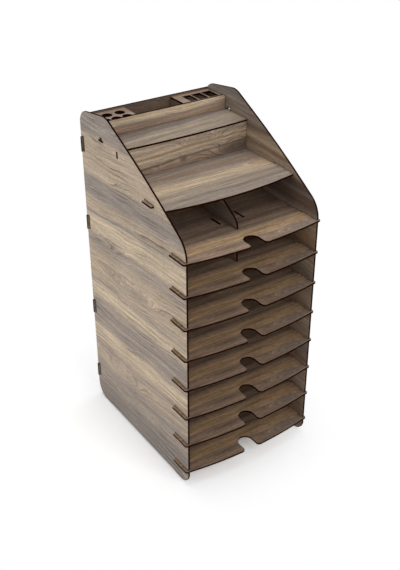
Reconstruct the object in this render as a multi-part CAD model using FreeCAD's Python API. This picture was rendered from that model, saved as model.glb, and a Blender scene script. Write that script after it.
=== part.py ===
import FreeCAD, Part
import math
import os

os.makedirs("parts", exist_ok=True)

# Desktop file organizer cut from flat board.
# All lengths are in millimetres. X runs from left to right, Y from front to back, Z upward.
# While the boards are drawn, X = 0 is the middle, Y = 0 the front edge of the side panels
# and Z = 0 the desk. The finished boards are moved forward so that Y = 0 is the middle too.
# Every board is cut flat and held by tabs that pass through slots.

# Board and fits
board = 3.0                 # thickness of every board
slot_play = 0.15            # spare room above and behind a tab in its slot
end_gap = 0.5               # gap between the pen box boards and the side panels
over = 1.0                  # a cutter runs past the board's faces by this

# Overall body
body_width = 250.0          # outer face of one side panel to outer face of the other
body_depth = 312.0          # front edge to rear edge of a side panel
back_inset = 4.0            # rear edge of a side panel behind the back panel's rear face

# Stack of trays
tray_count = 8
tray_pitch = 57.0
lowest_tray = 29.0          # underside of the lowest tray above the desk
tray_lead = 1.0             # ends of the front edge ahead of the side panels
tray_bow = 10.0             # extra reach of the front edge at its middle

# Ears of a tray, held in slots that open at the front edge
ear_length = 40.0
ear_reach = 4.8             # ear beyond the outer face of the side panel
ear_corner = 4.2

# Finger notch of a tray
notch_width = 26.6
notch_reach = 21.5          # rear end of the notch behind the side panels' front edge
notch_lip = 6.0

# Display shelf above the trays
upper_opening = 55.0        # clear height between the top tray and the display shelf
display_front = 63.0        # ends of the front edge behind the side panels' front edge
display_bow = 12.0
display_ear_lead = 23.0     # ears start behind the ends of the front edge
display_ear_length = 27.0

# Riser board and top shelf
riser_height = 50.0
riser_tab_height = 11.0
top_shelf_depth = 64.0      # at its ends
top_overhang = 2.0          # top shelf ahead of the riser at its ends
top_bow = 4.5
top_ear_length = 13.0
top_ear_gap = 3.0           # between the ears and the box front board
top_ear_reach = 1.0
top_slot_extra = 3.5        # open part of the slot above the ear

# Pen box behind the top shelf
box_depth = 50.0            # inside, from the box front board to the back panel
box_rise = 24.5             # upper edge of the box front board above the top shelf
box_corner = 4.0
plate_drop = 4.0            # top of the plates below the box front board's upper edge
foot_tab_width = 30.0
foot_tab_offset = 80.0      # middle of a foot tab from the middle of the board
box_tab_height = 24.0       # tabs at both ends of a box divider
box_tab_drop = 10.0         # their middle below the middle of the box divider

# Pen plate, measured from its left end and its front edge
pen_hole = 16.6             # diameter
pen_web = 3.0               # between two holes of the front row
pen_row_web = 4.4           # between the two rows
pen_back_web = 6.9          # between two holes of the back row
pen_rim = 1.7               # ahead of the front row
pen_front_inset = 11.2      # left of the front row
pen_back_inset = 24.7       # left of the back row
pen_end_rim = 7.8           # right of the front row
pen_front_count = 3
pen_back_count = 2

# Slotted plate, measured from its left end and its front edge
opening_widths = (15.0, 18.0, 17.5)
opening_bar = 3.0           # between two openings
opening_inset = 16.3        # left of the first opening
opening_end_rim = 4.0       # right of the last opening
opening_rim = 11.0          # ahead of the openings and behind them
opening_corner = 1.0

# Tabs of the shelves and plates in the back panel
rear_tab_width = 30.0
rear_tab_offset = 70.0      # middle of a tab from the middle of the shelf

# Back panel and its tabs in the side panels
back_bottom = 5.0           # lower edge of the back panel above the desk
back_drop = 1.0             # its upper edge below the box front board's upper edge
back_tab_height = 26.0
back_tab_reach = 3.5        # tab beyond the outer face of the side panel
back_tab_steps = (0.5, 3.0, tray_count - 2.0, tray_count + 0.5)   # tray pitches up

# Middle dividers
divider_offset = 1.2        # right of the middle
divider_setback = 46.5      # front edge behind the side panels' front edge
divider_nose = 12.0         # height above the tray where the front edge starts to lean back
divider_nose_radius = 21.0
divider_lean = 68.0         # run of the leaning edge up to the display shelf
divider_tab_first = 76.0    # first tab behind the side panels' front edge
divider_tab_second = 150.0
divider_tab_length = 26.0
spare_slots = (-11.3, 34.5) # middles of the empty divider slots in the top tray

# Side panel outline
shoulder_drop = 31.0        # corner of front edge and slope below the display shelf
peak_rise = 18.2            # corner of slope and top edge above the box front board
peak_lead = 87.0            # that corner ahead of the rear edge
rear_rise = 5.3             # corner of top edge and rear edge above the box front board
slope_swell = 7.5           # rise of the slope's middle above a straight line
slope_swell_at = 0.47       # place of that swell along the slope
slope_radius = 1500.0
shoulder_radius = 42.0
peak_radius = 35.0
rear_top_radius = 25.0
rear_bottom_radius = 28.0
front_bottom_radius = 24.0

# Feet of a side panel
foot_lift = 2.0             # hollow between the front foot and the rear foot
front_foot = 39.0           # rear end of the front foot behind the front edge
rear_foot = 41.0            # front end of the rear foot ahead of the rear edge
foot_ramp = 11.0            # length of the ramp from a foot up to the hollow
foot_blend = 12.0           # rounding of the ramp's ends

# Places shared by the boards
outer_half = body_width / 2
inner_half = outer_half - board
back_front = body_depth - back_inset - board
box_front = back_front - box_depth - board
plate_front = box_front + board
top_front = box_front - top_shelf_depth
riser_front = top_front + top_overhang
top_tray = lowest_tray + tray_pitch * (tray_count - 1)
display_level = top_tray + board + upper_opening
display_top = display_level + board
riser_top = display_top + riser_height
box_top = riser_top + board + box_rise
plate_level = box_top - plate_drop - board
pen_plate_start = -inner_half + end_gap
pen_plate_width = (pen_front_inset + pen_end_rim
                   + pen_hole * pen_front_count + pen_web * (pen_front_count - 1))
pen_plate_end = pen_plate_start + pen_plate_width
slotted_plate_width = (opening_inset + opening_end_rim
                       + sum(opening_widths) + opening_bar * (len(opening_widths) - 1))
slotted_plate_end = inner_half - end_gap
slotted_plate_start = slotted_plate_end - slotted_plate_width
box_tab_level = (display_top + plate_level - box_tab_height) / 2 - box_tab_drop
slot_height = board + slot_play
middle_depth = (body_depth - tray_lead - tray_bow) / 2


def tray_level(number):
    """Underside of a tray, number 1 at the top."""
    return lowest_tray + tray_pitch * (tray_count - number)


def back_tab_levels():
    """Lower ends of the back panel's side tabs."""
    middle = lowest_tray + board / 2
    return [middle + tray_pitch * step - back_tab_height / 2 for step in back_tab_steps]


# Helpers for flat boards

def box(x0, x1, y0, y1, z0, z1):
    return Part.makeBox(x1 - x0, y1 - y0, z1 - z0, FreeCAD.Vector(x0, y0, z0))


def joined(sheet, tabs):
    return sheet.fuse(tabs).removeSplitter()


def rounded_wire(corners, place):
    """Closed wire through (u, v, radius) corners, each rounded as far as its edges allow."""
    count = len(corners)
    points = [FreeCAD.Vector(u, v, 0) for u, v, radius in corners]
    legs = [points[(i + 1) % count] - points[i] for i in range(count)]
    angles = [legs[i].getAngle(points[i - 1] - points[i]) for i in range(count)]
    wanted = [corners[i][2] / math.tan(angles[i] / 2) for i in range(count)]
    edges = []
    ends = []
    for i in range(count):
        if wanted[i] == 0:
            ends.append((points[i], points[i]))
            continue
        room_before = legs[i - 1].Length * wanted[i] / (wanted[i] + wanted[i - 1])
        room_after = legs[i].Length * wanted[i] / (wanted[i] + wanted[(i + 1) % count])
        reach = min(wanted[i], 0.99 * room_before, 0.99 * room_after)
        before = (points[i - 1] - points[i]).normalize()
        after = (points[(i + 1) % count] - points[i]).normalize()
        start = points[i] + before * reach
        end = points[i] + after * reach
        rise = reach / math.cos(angles[i] / 2) - reach * math.tan(angles[i] / 2)
        crown = points[i] + (before + after).normalize() * rise
        edges.append(Part.Arc(place(start), place(crown), place(end)).toShape())
        ends.append((start, end))
    for i in range(count):
        edges.append(Part.makeLine(place(ends[i - 1][1]), place(ends[i][0])))
    return Part.Wire(Part.__sortEdges__(edges))


def side_board(corners, x):
    """Upright board parallel to the side panels, its left face at x."""
    wire = rounded_wire(corners, lambda point: FreeCAD.Vector(x, point.x, point.y))
    return Part.Face(wire).extrude(FreeCAD.Vector(board, 0, 0))


def cross_board(x0, x1, z0, z1, y, corner=0):
    """Upright board parallel to the back panel, its front face at y."""
    corners = [(x0, z0, 0), (x1, z0, 0), (x1, z1, corner), (x0, z1, corner)]
    wire = rounded_wire(corners, lambda point: FreeCAD.Vector(point.x, y, point.y))
    return Part.Face(wire).extrude(FreeCAD.Vector(0, board, 0))


def bowed_board(front, bow, rear, z):
    """Level board between the side panels with a bowed front edge, its underside at z."""
    left = FreeCAD.Vector(-inner_half, front, z)
    crown = FreeCAD.Vector(0, front - bow, z)
    right = FreeCAD.Vector(inner_half, front, z)
    rear_right = FreeCAD.Vector(inner_half, rear, z)
    rear_left = FreeCAD.Vector(-inner_half, rear, z)
    edges = [
        Part.Arc(left, crown, right).toShape(),
        Part.makeLine(right, rear_right),
        Part.makeLine(rear_right, rear_left),
        Part.makeLine(rear_left, left),
    ]
    return Part.Face(Part.Wire(edges)).extrude(FreeCAD.Vector(0, 0, board))


def upright_edges(shape, wanted):
    """Vertical edges of a level board whose place passes the test wanted(x, y)."""
    found = []
    for edge in shape.Edges:
        a = edge.Vertexes[0].Point
        b = edge.Vertexes[-1].Point
        level = abs(a.z - b.z) < 1e-6
        upright = abs(a.x - b.x) < 1e-6 and abs(a.y - b.y) < 1e-6
        if upright and not level and wanted(a.x, a.y):
            found.append(edge)
    return found


# Tabs and slots

def side_pair(reach, y0, y1, z0, z1):
    """Pair of tabs through the side panels, to a reach beyond their outer faces."""
    return [
        box(-outer_half - reach, -inner_half, y0, y1, z0, z1),
        box(inner_half, outer_half + reach, y0, y1, z0, z1),
    ]


def side_slot(y0, y1, z0, z1):
    """Cutter through both side panels."""
    return box(-outer_half - over, outer_half + over, y0, y1, z0, z1)


def rear_tabs(middles, z):
    """Tabs at the rear edge of a level board, through the back panel."""
    half = rear_tab_width / 2
    return [box(x - half, x + half, back_front, back_front + board, z, z + board)
            for x in middles]


def rear_slots(middles, z):
    """Cutters through the back panel for the rear tabs."""
    half = rear_tab_width / 2 + slot_play
    return [box(x - half, x + half, back_front - over, back_front + board + over,
                z, z + slot_height) for x in middles]


def box_divider_slots(y):
    """Cutters for the tabs of both box dividers, in an upright board with its front at y."""
    top = box_tab_level + box_tab_height + slot_play
    return [box(x, x + slot_height, y - over, y + board + over, box_tab_level, top)
            for x in (pen_plate_end - board, slotted_plate_start)]


def divider_tabs(z):
    """Tabs below a divider, through a tray with its underside at z."""
    half = board / 2
    return [box(divider_offset - half, divider_offset + half, y, y + divider_tab_length,
                z, z + board) for y in (divider_tab_first, divider_tab_second)]


def divider_slots(middle, z):
    """Cutters for one row of divider slots in a tray."""
    half = board / 2
    length = divider_tab_length + slot_play
    return [box(middle - half, middle + half + slot_play, y, y + length,
                z - over, z + board + over) for y in (divider_tab_first, divider_tab_second)]


shelf_tab_middles = (-rear_tab_offset, rear_tab_offset)
pen_tab_middle = ((pen_plate_start + pen_plate_end) / 2,)
slotted_tab_middle = ((slotted_plate_start + slotted_plate_end) / 2,)


# Side panels

def panel_corners():
    shoulder = display_level - shoulder_drop
    peak_setback = body_depth - peak_lead
    peak = box_top + peak_rise
    swell = shoulder + (peak - shoulder) * slope_swell_at + slope_swell
    rear_foot_start = body_depth - rear_foot
    return [
        (0, 0, front_bottom_radius),
        (front_foot, 0, foot_blend),
        (front_foot + foot_ramp, foot_lift, foot_blend),
        (rear_foot_start - foot_ramp, foot_lift, foot_blend),
        (rear_foot_start, 0, foot_blend),
        (body_depth, 0, rear_bottom_radius),
        (body_depth, box_top + rear_rise, rear_top_radius),
        (peak_setback, peak, peak_radius),
        (peak_setback * slope_swell_at, swell, slope_radius),
        (0, shoulder, shoulder_radius),
    ]


def side_panel(x):
    cutters = []
    for number in range(1, tray_count + 1):
        z = tray_level(number)
        cutters.append(side_slot(-over, ear_length - tray_lead + slot_play, z, z + slot_height))
    ear_start = display_front + display_ear_lead
    cutters.append(side_slot(ear_start, ear_start + display_ear_length + slot_play,
                             display_level, display_level + slot_height))
    ear_end = box_front - top_ear_gap
    cutters.append(side_slot(ear_end - top_ear_length, ear_end + slot_play,
                             riser_top, riser_top + board + top_slot_extra))
    cutters.append(side_slot(riser_front, riser_front + slot_height,
                             riser_top - riser_tab_height, riser_top + slot_play))
    for z in back_tab_levels():
        cutters.append(side_slot(back_front, back_front + slot_height,
                                 z, z + back_tab_height + slot_play))
    return side_board(panel_corners(), x).cut(cutters)


# Back panel

def back_panel():
    sheet = cross_board(-inner_half, inner_half, back_bottom, box_top - back_drop, back_front)
    tabs = []
    for z in back_tab_levels():
        tabs += side_pair(back_tab_reach, back_front, back_front + board, z, z + back_tab_height)
    slots = box_divider_slots(back_front)
    slots += rear_slots(shelf_tab_middles, display_level)
    slots += rear_slots(pen_tab_middle + slotted_tab_middle, plate_level)
    for number in range(1, tray_count + 1):
        slots += rear_slots(shelf_tab_middles, tray_level(number))
    return joined(sheet, tabs).cut(slots)


# Trays

def plain_tray(z):
    """Tray with its ears, rear tabs and finger notch."""
    tabs = side_pair(ear_reach, -tray_lead, ear_length - tray_lead, z, z + board)
    tabs += rear_tabs(shelf_tab_middles, z)
    sheet = joined(bowed_board(-tray_lead, tray_bow, back_front, z), tabs)
    half = notch_width / 2
    centre = notch_reach - half
    height = board + 2 * over
    mouth = box(-half, half, -tray_lead - tray_bow - over, centre, z - over, z + board + over)
    end = Part.makeCylinder(half, height, FreeCAD.Vector(0, centre, z - over))
    sheet = sheet.cut([mouth, end])
    lips = upright_edges(sheet, lambda x, y: abs(abs(x) - half) < 0.01 and y < -tray_lead)
    sheet = sheet.makeFillet(notch_lip, lips)
    tip = outer_half + ear_reach
    front = upright_edges(sheet, lambda x, y: abs(abs(x) - tip) < 0.01 and y < 0)
    return sheet.makeFillet(min(ear_corner, 0.9 * ear_reach), front)


def tray(number):
    z = tray_level(number)
    slots = []
    if number <= 2:
        slots += divider_slots(divider_offset, z)
    if number == 1:
        for middle in spare_slots:
            slots += divider_slots(middle, z)
    sheet = plain_tray(z)
    return sheet.cut(slots) if slots else sheet


# Middle dividers

def upper_divider():
    foot = tray_level(1) + board
    corners = [
        (divider_setback, foot, 0),
        (back_front, foot, 0),
        (back_front, display_level, 0),
        (divider_setback + divider_lean, display_level, 0),
        (divider_setback, foot + divider_nose, divider_nose_radius),
    ]
    sheet = side_board(corners, divider_offset - board / 2)
    return joined(sheet, divider_tabs(tray_level(1)))


def lower_divider():
    foot = tray_level(2) + board
    half = board / 2
    sheet = box(divider_offset - half, divider_offset + half, divider_setback, back_front,
                foot, tray_level(1))
    return joined(sheet, divider_tabs(tray_level(2)))


# Display shelf, riser and top shelf

def display_shelf():
    start = display_front + display_ear_lead
    tabs = side_pair(ear_reach, start, start + display_ear_length, display_level, display_top)
    tabs += rear_tabs(shelf_tab_middles, display_level)
    sheet = joined(bowed_board(display_front, display_bow, back_front, display_level), tabs)
    half = foot_tab_width / 2 + slot_play
    slots = [box(x - half, x + half, box_front, box_front + slot_height,
                 display_level - over, display_top + over)
             for x in (-foot_tab_offset, foot_tab_offset)]
    return sheet.cut(slots)


def riser_board():
    sheet = cross_board(-inner_half, inner_half, display_top, riser_top, riser_front)
    tabs = side_pair(0, riser_front, riser_front + board, riser_top - riser_tab_height, riser_top)
    return joined(sheet, tabs)


def top_shelf():
    end = box_front - top_ear_gap
    tabs = side_pair(top_ear_reach, end - top_ear_length, end, riser_top, riser_top + board)
    return joined(bowed_board(top_front, top_bow, box_front, riser_top), tabs)


# Pen box

def box_front_board():
    half = inner_half - end_gap
    sheet = cross_board(-half, half, display_top, box_top, box_front, box_corner)
    half_tab = foot_tab_width / 2
    tabs = [box(x - half_tab, x + half_tab, box_front, plate_front, display_level, display_top)
            for x in (-foot_tab_offset, foot_tab_offset)]
    return joined(sheet, tabs).cut(box_divider_slots(box_front))


def box_divider(x):
    sheet = box(x, x + board, plate_front, back_front, display_top, plate_level)
    top = box_tab_level + box_tab_height
    tabs = [
        box(x, x + board, box_front, plate_front, box_tab_level, top),
        box(x, x + board, back_front, back_front + board, box_tab_level, top),
    ]
    return joined(sheet, tabs)


def plate(x0, x1, tab_middle):
    """Plain cover plate of the pen box with its rear tab."""
    sheet = box(x0, x1, plate_front, back_front, plate_level, plate_level + board)
    return joined(sheet, rear_tabs(tab_middle, plate_level))


def pen_row(inset, row, web, count):
    """Cutters for one row of pen holes; row is the front of the holes in the plate."""
    radius = pen_hole / 2
    holes = []
    for i in range(count):
        x = pen_plate_start + inset + radius + (pen_hole + web) * i
        centre = FreeCAD.Vector(x, plate_front + row + radius, plate_level - over)
        holes.append(Part.makeCylinder(radius, board + 2 * over, centre))
    return holes


def pen_plate():
    holes = pen_row(pen_front_inset, pen_rim, pen_web, pen_front_count)
    back_row = pen_rim + pen_hole + pen_row_web
    holes += pen_row(pen_back_inset, back_row, pen_back_web, pen_back_count)
    return plate(pen_plate_start, pen_plate_end, pen_tab_middle).cut(holes)


def slotted_plate():
    sheet = plate(slotted_plate_start, slotted_plate_end, slotted_tab_middle)
    openings = []
    x = slotted_plate_start + opening_inset
    for width in opening_widths:
        opening = box(x, x + width, plate_front + opening_rim, back_front - opening_rim,
                      plate_level - over, plate_level + board + over)
        corners = upright_edges(opening, lambda x, y: True)
        openings.append(opening.makeFillet(opening_corner, corners))
        x += width + opening_bar
    return sheet.cut(openings)


# Every board under its name

def boards():
    made = {
        "left_side_panel": side_panel(-outer_half),
        "right_side_panel": side_panel(inner_half),
        "back_panel": back_panel(),
        "upper_divider": upper_divider(),
        "lower_divider": lower_divider(),
        "display_shelf": display_shelf(),
        "riser_board": riser_board(),
        "top_shelf": top_shelf(),
        "box_front_board": box_front_board(),
        "box_divider_left": box_divider(pen_plate_end - board),
        "box_divider_right": box_divider(slotted_plate_start),
        "pen_plate": pen_plate(),
        "slotted_plate": slotted_plate(),
    }
    for number in range(1, tray_count + 1):
        made["tray_%d" % number] = tray(number)
    return made


for name, shape in boards().items():
    shape.translate(FreeCAD.Vector(0, -middle_depth, 0))
    shape.exportStep("parts/" + name + ".step")
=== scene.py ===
import math

import bmesh
import bpy
from mathutils import Euler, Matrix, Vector


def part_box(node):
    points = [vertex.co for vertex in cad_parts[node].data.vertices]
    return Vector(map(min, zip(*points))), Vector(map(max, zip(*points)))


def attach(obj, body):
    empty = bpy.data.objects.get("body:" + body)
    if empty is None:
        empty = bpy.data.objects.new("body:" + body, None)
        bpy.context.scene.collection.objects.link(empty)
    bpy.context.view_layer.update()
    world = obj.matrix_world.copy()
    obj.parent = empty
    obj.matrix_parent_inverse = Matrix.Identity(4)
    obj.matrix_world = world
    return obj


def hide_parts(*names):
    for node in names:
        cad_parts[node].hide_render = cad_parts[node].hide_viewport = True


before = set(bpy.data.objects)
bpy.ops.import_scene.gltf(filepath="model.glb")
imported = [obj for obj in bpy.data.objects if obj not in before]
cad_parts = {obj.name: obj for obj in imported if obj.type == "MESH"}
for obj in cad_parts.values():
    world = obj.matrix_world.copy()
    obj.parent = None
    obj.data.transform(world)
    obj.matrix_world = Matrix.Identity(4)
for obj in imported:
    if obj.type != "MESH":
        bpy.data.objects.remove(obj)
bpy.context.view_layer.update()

bl_info = {
    "name": "Desktop file organizer",
    "version": (1, 0, 0),
    "blender": (4, 5, 0),
    "location": "3D View > Sidebar > Organizer",
    "description": "Builds a slotted file organizer of walnut veneered board and its stage",
    "category": "Add Mesh",
}

# All lengths are in metres. X runs from left to right, Y from front to back and Z upward.
# The outlines follow the fixed frame: each board starts from the box of its CAD node.

MILLIMETRE = 0.001
OVERRUN = 0.001             # how far a cutter runs past the board, and a tab into it
SAME_PLACE = 0.000002       # corners closer than this are one corner
NEARBY = 0.00003            # how far a corner may lie from where it is looked for
FULL_ROUND = 0.9999         # share of a half width; the whole leaves edges without length
FLAT_TURN = 0.0006          # faces that meet at less than this angle are one face
ARC_STEP = math.radians(4)  # turn from segment to segment of a rounded edge
SMOOTH_TURN = math.radians(40)
DISC_SIDES = 720
HOLE_SIDES = 64
AIM_HEIGHT = 0.25           # level that the lamps are aimed at

left_low, left_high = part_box("left_side_panel")
back_low, back_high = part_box("back_panel")
strip_low, strip_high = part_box("box_front_board")
outer_half = -left_low.x
inner_half = -left_high.x
board_thickness = left_high.x - left_low.x
panel_front = left_low.y
panel_rear = left_high.y
back_face = back_low.y
back_rear = back_high.y
tray_names = ["tray_%d" % number for number in range(1, 9)]


# Sizes and colours that a user may change

def number(name, description, default, **options):
    return bpy.props.FloatProperty(
        name=name, description=description, default=default, **options)


def length(name, description, default):
    return number(name, description, default, soft_min=0.0, unit="LENGTH", precision=5)


def angle(name, description, degrees):
    return number(name, description, math.radians(degrees), subtype="ANGLE")


def power(name, description, default):
    return number(name, description, default, soft_min=0.0, unit="POWER")


def triple(name, description, default, **options):
    return bpy.props.FloatVectorProperty(
        name=name, description=description, default=default, size=3, **options)


def tone(name, description, default):
    return triple(name, description, default, min=0.0, max=1.0, subtype="COLOR")


class OrganizerSides(bpy.types.PropertyGroup):
    shoulder_height: length("Shoulder height", "Corner of the front edge and the slope", 0.455)
    shoulder_radius: length("Shoulder radius", "Rounding of that corner", 0.042)
    peak_depth: length("Peak depth", "Corner of the slope and the top, behind the front", 0.225)
    peak_height: length("Peak height", "Height of that corner before it is rounded", 0.5847)
    peak_radius: length("Peak radius", "Rounding of that corner", 0.035)
    rear_height: length("Rear height", "Corner of the top and the rear edge", 0.5718)
    rear_top_radius: length("Rear top radius", "Rounding of that corner", 0.025)
    rear_bottom_radius: length("Rear bottom radius", "Rounding of the heel", 0.028)
    front_bottom_radius: length("Front bottom radius", "Rounding of the toe", 0.024)
    swell: length("Swell", "Rise of the slope's middle above a straight line", 0.0075)
    swell_place: number("Swell place", "Place of the swell along the slope", 0.47,
                        min=0.1, max=0.9, subtype="FACTOR")
    swell_radius: length("Swell radius", "Rounding of the slope's middle", 1.5)
    foot_lift: length("Foot lift", "Height of the hollow between the feet", 0.002)
    front_foot: length("Front foot", "Length of the front foot", 0.039)
    rear_foot: length("Rear foot", "Length of the rear foot", 0.041)
    foot_ramp: length("Foot ramp", "Length of the ramp from a foot to the hollow", 0.011)
    foot_blend: length("Foot blend", "Rounding of the ramp's ends", 0.012)


class OrganizerJoints(bpy.types.PropertyGroup):
    play: length("Play", "Spare room above and behind a tab in its slot", 0.00015)
    tray_gap: length("Tray gap", "Gap above a tray's ear in the side panel", 0.0018)
    display_gap: length("Display gap", "Gap above the display shelf's ear", 0.0020)
    back_gap: length("Back gap", "Gap ahead of a back panel tab in the side panel", 0.0024)
    riser_gap: length("Riser gap", "Gap behind the riser board's tab", 0.0012)
    ear_length: length("Tray ear length", "Tray ear from front to back", 0.040)
    ear_corner: length("Ear corner", "Rounding of a tray ear's front corner", 0.0042)
    display_ear_lead: length("Display ear lead", "Ear behind the display shelf's ends", 0.023)
    display_ear_length: length("Display ear length", "Ear from front to back", 0.027)
    top_ear_length: length("Top ear length", "Top shelf's ear from front to back", 0.013)
    top_ear_gap: length("Top ear gap", "From that ear to the strip behind it", 0.003)
    top_slot_height: length("Top slot height", "Slot of the top shelf's ear with its gap", 0.0065)
    top_gap_length: length("Top gap length", "Gap above that ear from front to back", 0.0065)
    riser_tab_height: length("Riser tab height", "Side tab of the riser board", 0.011)
    rear_tab_width: length("Rear tab width", "Tab of a shelf in the back panel", 0.030)
    rear_tab_offset: length("Rear tab offset", "Middle of a tab from the shelf's middle", 0.070)
    back_tab_height: length("Back tab height", "Tab of the back panel in a side", 0.026)
    foot_tab_width: length("Foot tab width", "Tab of the strip in the display shelf", 0.030)
    foot_tab_offset: length("Foot tab offset", "Middle of that tab from the middle", 0.080)
    box_tab_height: length("Box tab height", "Tab at the ends of a box divider", 0.024)
    box_tab_drop: length("Box tab drop", "Its middle below the divider's middle", 0.010)


class OrganizerShelves(bpy.types.PropertyGroup):
    tray_front: length("Tray front", "Ends of a tray's front edge ahead of the sides", 0.001)
    tray_bow: length("Tray bow", "Reach of the front edge at its middle", 0.010)
    notch_width: length("Notch width", "Finger notch from side to side", 0.0266)
    notch_reach: length("Notch reach", "Rear end of the notch behind the front", 0.0215)
    notch_lip: length("Notch lip", "Rounding of the notch's front corners", 0.006)
    display_bow: length("Display bow", "Bow of the display shelf's front edge", 0.012)
    display_front: length("Display front", "Its ends behind the front of the sides", 0.063)
    top_bow: length("Top bow", "Bow of the top shelf's front edge", 0.0045)
    top_depth: length("Top depth", "Depth of the top shelf at its ends", 0.064)


class OrganizerDividers(bpy.types.PropertyGroup):
    offset: length("Offset", "Middle of the dividers right of the middle", 0.0012)
    nose_height: length("Nose height", "Where the front edge starts to lean back", 0.012)
    nose_radius: length("Nose radius", "Rounding of that corner", 0.021)
    lean: length("Lean", "Run of the leaning edge up to the display shelf", 0.068)
    tab_length: length("Tab length", "Tab below a divider", 0.026)
    first_tab: length("First tab", "Front end of the first tab behind the front", 0.076)
    second_tab: length("Second tab", "Front end of the second tab", 0.150)
    left_spare: length("Left spare slots", "Empty slots left of the middle", 0.0113)
    right_spare: length("Right spare slots", "Empty slots right of the middle", 0.0345)


class OrganizerPenBox(bpy.types.PropertyGroup):
    strip_corner: length("Strip corner", "Upper corners of the strip", 0.004)
    pen_hole: length("Pen hole", "Diameter of a pen hole", 0.0166)
    front_pitch: length("Front pitch", "From hole to hole in the front row", 0.0196)
    back_pitch: length("Back pitch", "From hole to hole in the back row", 0.0235)
    front_inset: length("Front inset", "First hole of the front row from the left", 0.0195)
    back_inset: length("Back inset", "First hole of the back row from the left", 0.033)
    front_row: length("Front row", "Middle of the front row behind the strip", 0.010)
    back_row: length("Back row", "Middle of the back row behind the strip", 0.031)
    opening_inset: length("Opening inset", "First oblong opening from the left", 0.0163)
    opening_bar: length("Opening bar", "Bar between two openings", 0.003)
    opening_rim: length("Opening rim", "Rim ahead of the openings and behind them", 0.011)
    opening_corner: length("Opening corner", "Rounding of an opening's corners", 0.001)
    opening_widths: triple("Opening widths", "Oblong openings from left to right",
                           (0.015, 0.018, 0.0175), unit="LENGTH", precision=5)


class OrganizerFinish(bpy.types.PropertyGroup):
    scorch: length("Scorch", "Width of the browned rim beside a cut", 0.0008)
    arris: length("Arris", "Softening of the cut edges", 0.00018)
    straw: tone("Straw", "Lightest yellow bands", (0.60, 0.470, 0.328))
    pale: tone("Pale", "Light bands of the side panels", (0.49, 0.394, 0.287))
    tan: tone("Tan", "Common tone of the veneer", (0.41, 0.323, 0.240))
    taupe: tone("Taupe", "Grey-brown between the bands", (0.330, 0.268, 0.218))
    smoke: tone("Smoke", "Grey bands of the veneer", (0.262, 0.220, 0.190))
    slate: tone("Slate", "Dark grey at the foot of the sides", (0.218, 0.185, 0.162))
    golden: tone("Golden", "Warm bands of the trays", (0.41, 0.278, 0.165))
    hazel: tone("Hazel", "Warm streaks of the riser board", (0.36, 0.252, 0.182))
    bark: tone("Bark", "Warm grey-brown of the trays", (0.275, 0.195, 0.141))
    # Umber also paints the shadow just below the display shelf on the sides' inner faces.
    umber: tone("Umber", "Dark heartwood bands", (0.168, 0.118, 0.088))
    russet: tone("Russet", "Reddish heartwood", (0.285, 0.178, 0.122))
    char: tone("Char", "Burnt rim of the veneer", (0.036, 0.012, 0.007))
    cut: tone("Cut edge", "Burnt core of the board", (0.015, 0.0032, 0.0018))


class OrganizerStage(bpy.types.PropertyGroup):
    camera_place: triple("Camera", "Place of the camera", (-0.7239, -1.0752, 1.0558),
                         subtype="XYZ", unit="LENGTH")
    camera_azimuth: angle("Azimuth", "Turn of the view about the upright axis", -33.970)
    camera_elevation: angle("Elevation", "Angle of the view above the horizon", 30.907)
    camera_roll: angle("Roll", "Turn of the picture", -0.132)
    lens: number("Lens", "Focal length for a 36 mm long side", 55.45, unit="CAMERA")
    sky: number("Sky", "Strength of the even light from all sides", 0.30)
    side_lamp: power("Side lamp", "Low lamp at the left", 19.6)
    top_lamp: power("Top lamp", "Lamp overhead", 12.0)
    front_lamp: power("Front lamp", "Lamp high in front", 13.5)
    low_lamp: power("Low lamp", "Small lamp low in front", 3.2)
    rim_lamp: power("Rim lamps", "Each of the lamps at the right and behind", 9.0)
    floor_seen: triple("Floor as seen", "Tone of the floor to the camera, where lit past white",
                       (1.42, 1.44, 1.46), subtype="COLOR", soft_max=2.0)
    floor_glow: number("Floor glow", "What softens the shadow on the floor", 0.13)
    shadow_centre: triple("Shadow centre", "Middle of the shadow on the floor",
                          (-0.05, 0.15, 0.0), subtype="XYZ", unit="LENGTH")
    shadow_core: length("Shadow core", "Distance at which the shadow starts to fade", 0.25)
    shadow_reach: length("Shadow reach", "Distance at which the floor is plain white", 0.42)
    floor_size: length("Floor size", "Side of the floor", 12.0)


# Modelling helpers

def select_only(piece):
    bpy.ops.object.select_all(action="DESELECT")
    piece.select_set(True)
    bpy.context.view_layer.objects.active = piece


def apply_size(name):
    """Names the piece that was just made and applies its place and size."""
    piece = bpy.context.object
    bpy.ops.object.transform_apply(location=True, rotation=True, scale=True)
    piece.name = name
    return piece


def add_block(name, low, high):
    """Cube primitive at the size and place of a block with these corners."""
    low = Vector(low)
    high = Vector(high)
    bpy.ops.object.select_all(action="DESELECT")
    bpy.ops.mesh.primitive_cube_add(size=1, location=(low + high) / 2, scale=high - low)
    return apply_size(name)


def add_rod(name, x, y, radius, low, high, sides):
    """Upright cylinder primitive."""
    bpy.ops.object.select_all(action="DESELECT")
    bpy.ops.mesh.primitive_cylinder_add(
        vertices=sides, radius=radius, depth=high - low, location=(x, y, (low + high) / 2))
    return apply_size(name)


def combine(board, others, operation):
    """Adds other solids to a board, or cuts them out of it, and uses them up."""
    bpy.ops.object.select_all(action="DESELECT")
    for other in others:
        other.select_set(True)
    bpy.context.view_layer.objects.active = others[0]
    if len(others) > 1:
        bpy.ops.object.join()
    tool = bpy.context.object
    select_only(board)
    modifier = board.modifiers.new("Combine", "BOOLEAN")
    modifier.operation = operation
    modifier.solver = "EXACT"
    modifier.object = tool
    bpy.ops.object.modifier_apply(modifier=modifier.name)
    bpy.data.objects.remove(tool, do_unlink=True)


def cut_blocks(board, blocks):
    combine(board, [add_block("cutter", low, high) for low, high in blocks], "DIFFERENCE")


def add_tabs(board, blocks):
    combine(board, [add_block("tab", low, high) for low, high in blocks], "UNION")
    tidy_faces(board)


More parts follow.
